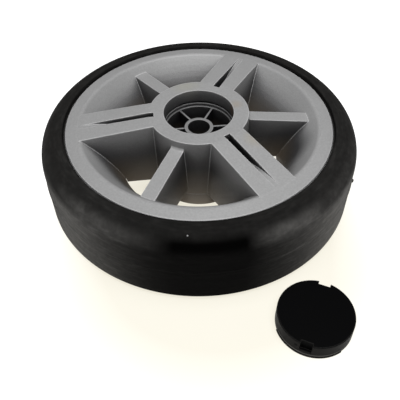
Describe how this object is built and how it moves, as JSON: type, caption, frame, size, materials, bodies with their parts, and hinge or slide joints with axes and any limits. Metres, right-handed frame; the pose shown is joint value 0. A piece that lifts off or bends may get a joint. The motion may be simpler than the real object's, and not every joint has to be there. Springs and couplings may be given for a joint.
{
  "type": "pressure washer wheel",
  "caption": "Spoked plastic wheel with a dished web and a solid rubber tyre, lying flat, and the snap-in cap of its hub beside it.",
  "frame": {"origin": "on the axle bore's axis, at half the width of the tyre", "axes": "+Z along the axle out of the wheel's front face, -Y towards the side where the loose cap lies, +X to the right of that"},
  "size_m": [0.2006, 0.2376, 0.0576],
  "materials": {
    "hub_plastic": "grey moulded plastic, fine matt grain",
    "tyre_rubber": "black solid rubber, lightly scuffed",
    "cap_plastic": "black moulded plastic, satin"
  },
  "bodies": {
    "root": {"wheel_hub": "hub_plastic", "tyre": "tyre_rubber", "hub_cap": "cap_plastic"}
  },
  "joints": []
}
